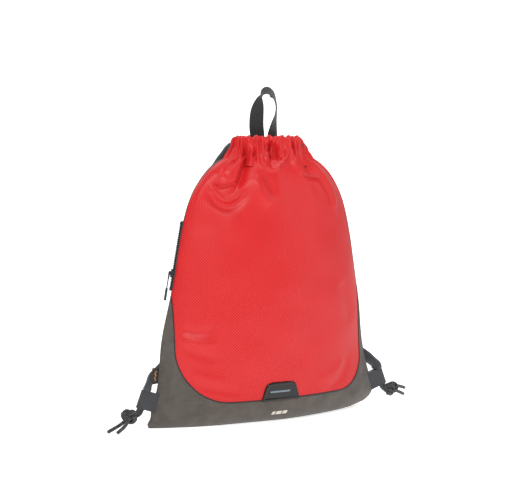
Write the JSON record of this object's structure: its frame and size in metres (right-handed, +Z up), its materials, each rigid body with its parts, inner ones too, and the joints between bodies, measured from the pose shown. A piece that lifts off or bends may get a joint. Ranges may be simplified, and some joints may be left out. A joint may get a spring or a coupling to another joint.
{
  "type": "drawstring backpack",
  "caption": "Soft drawstring backpack with a gathered neck, hanging loop, side zip pocket, light patch and cord shoulder straps knotted at webbing tabs.",
  "frame": {"origin": "middle of the base on the surface that the bag stands on, in the plane of the side seams", "axes": "+Z up, the front with the light patch faces -Y, +X to the right seen from the front"},
  "size_m": [0.5242, 0.1073, 0.513],
  "materials": {
    "red_fabric": "diamond ripstop, semi-gloss coating",
    "grey_fabric": "plain weave, matte",
    "back_fabric": "plain weave, matte",
    "piping": "narrow bound seam",
    "webbing": "twill webbing",
    "cord": "braided cord with light flecks",
    "sleeve_fabric": "gathered plain weave",
    "zip_tape": "woven tape",
    "zip_teeth": "moulded coil",
    "zip_metal": "black enamel",
    "grip_plastic": "soft moulded",
    "patch_plastic": "moulded, satin",
    "bar_plastic": "glossy",
    "print": "rubber print",
    "label": "woven label",
    "lining": "thin lining"
  },
  "bodies": {
    "bag": {"front_panel": "red_fabric", "lower_panel": "grey_fabric", "back_panel": "back_fabric", "neck_channel": "red_fabric", "seam_piping": "piping", "carry_loop_ends": "webbing", "left_drawcord": "cord", "right_drawcord": "cord", "left_tab": "webbing", "right_tab": "webbing", "left_tab_cords": "cord", "right_tab_cords": "cord", "zip_tape": "zip_tape", "zip_teeth": "zip_teeth", "zip_bottom_stop": "zip_metal", "zip_top_stop": "zip_metal", "zip_pocket_bag": "lining", "light_patch": "patch_plastic", "light_bar": "bar_plastic", "printed_mark": "print", "side_label": "label"},
    "carry_loop": {"carry_loop": "webbing"},
    "left_strap": {"left_strap_sleeve": "sleeve_fabric", "left_strap_cord_a": "cord", "left_strap_cord_b": "cord"},
    "right_strap": {"right_strap_sleeve": "sleeve_fabric", "right_strap_cord_a": "cord", "right_strap_cord_b": "cord"},
    "left_knot": {"left_knot": "cord", "left_tail_a": "cord", "left_tail_b": "cord"},
    "right_knot": {"right_knot": "cord", "right_tail_a": "cord", "right_tail_b": "cord"},
    "zip_slider": {"zip_slider": "zip_metal"},
    "zip_pull": {"zip_pull": "zip_metal", "zip_pull_cord": "cord", "zip_grip": "grip_plastic"}
  },
  "joints": [
    {"name": "carry_loop_fold", "type": "hinge", "parent": "bag", "child": "carry_loop", "pos_m": [0, 0.0108, 0.439], "axis": [1, 0, 0], "range_deg": [-70, 70], "stiffness_Nm_per_rad": 0.02},
    {"name": "left_strap_swing", "type": "hinge", "parent": "bag", "child": "left_strap", "pos_m": [-0.072, 0, 0.421], "axis": [0.3272, 0, 0.945], "range_deg": [0, 38]},
    {"name": "right_strap_swing", "type": "hinge", "parent": "bag", "child": "right_strap", "pos_m": [0.072, 0, 0.421], "axis": [0.3272, 0, -0.945], "range_deg": [0, 38]},
    {"name": "left_knot_swing", "type": "hinge", "parent": "bag", "child": "left_knot", "pos_m": [-0.20958, 0, 0.02568], "axis": [0, 0, 1], "range_deg": [-30, 30]},
    {"name": "right_knot_swing", "type": "hinge", "parent": "bag", "child": "right_knot", "pos_m": [0.20958, 0, 0.02568], "axis": [0, 0, 1], "range_deg": [-30, 30]},
    {"name": "zip_slide", "type": "slide", "parent": "bag", "child": "zip_slider", "axis": [0.1749, 0, 0.9846], "range_m": [-0.0155, 0.0675]},
    {"name": "zip_pull_swing", "type": "hinge", "parent": "zip_slider", "child": "zip_pull", "pos_m": [-0.16006, 0.00209, 0.23394], "axis": [0.2589, 0.9648, -0.046], "range_deg": [0, 110]}
  ]
}
